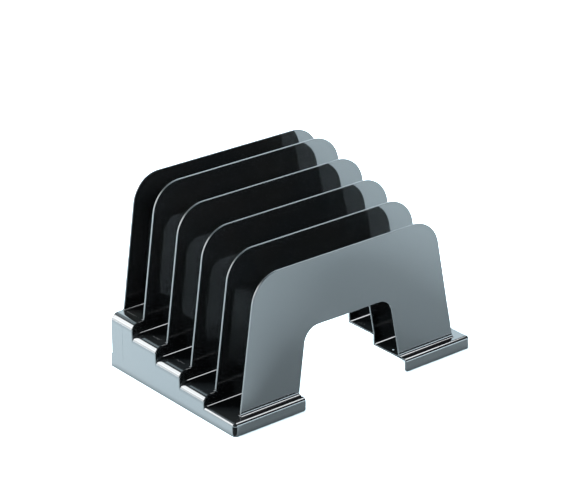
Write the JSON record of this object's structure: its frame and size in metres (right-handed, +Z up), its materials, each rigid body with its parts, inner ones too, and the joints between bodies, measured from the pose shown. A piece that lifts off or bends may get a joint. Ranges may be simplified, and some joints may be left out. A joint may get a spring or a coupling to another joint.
{
  "type": "desktop file sorter",
  "caption": "Inclined desktop sorter: arched upright dividers on two stepped feet, with slots that hold folders and papers on edge.",
  "frame": {"origin": "middle of the sorter's own box, on the surface it stands on", "axes": "+X along the dividers, to the right of a person facing the sorter; +Y to the rear, where the floors are highest; +Z up"},
  "size_m": [0.337, 0.2248, 0.214],
  "materials": {
    "gloss_black_plastic": "polished black moulded polystyrene"
  },
  "bodies": {
    "root": {"left_foot": "gloss_black_plastic", "right_foot": "gloss_black_plastic", "divider_1": "gloss_black_plastic", "divider_2": "gloss_black_plastic", "divider_3": "gloss_black_plastic", "divider_4": "gloss_black_plastic", "divider_5": "gloss_black_plastic", "divider_6": "gloss_black_plastic"}
  },
  "joints": []
}
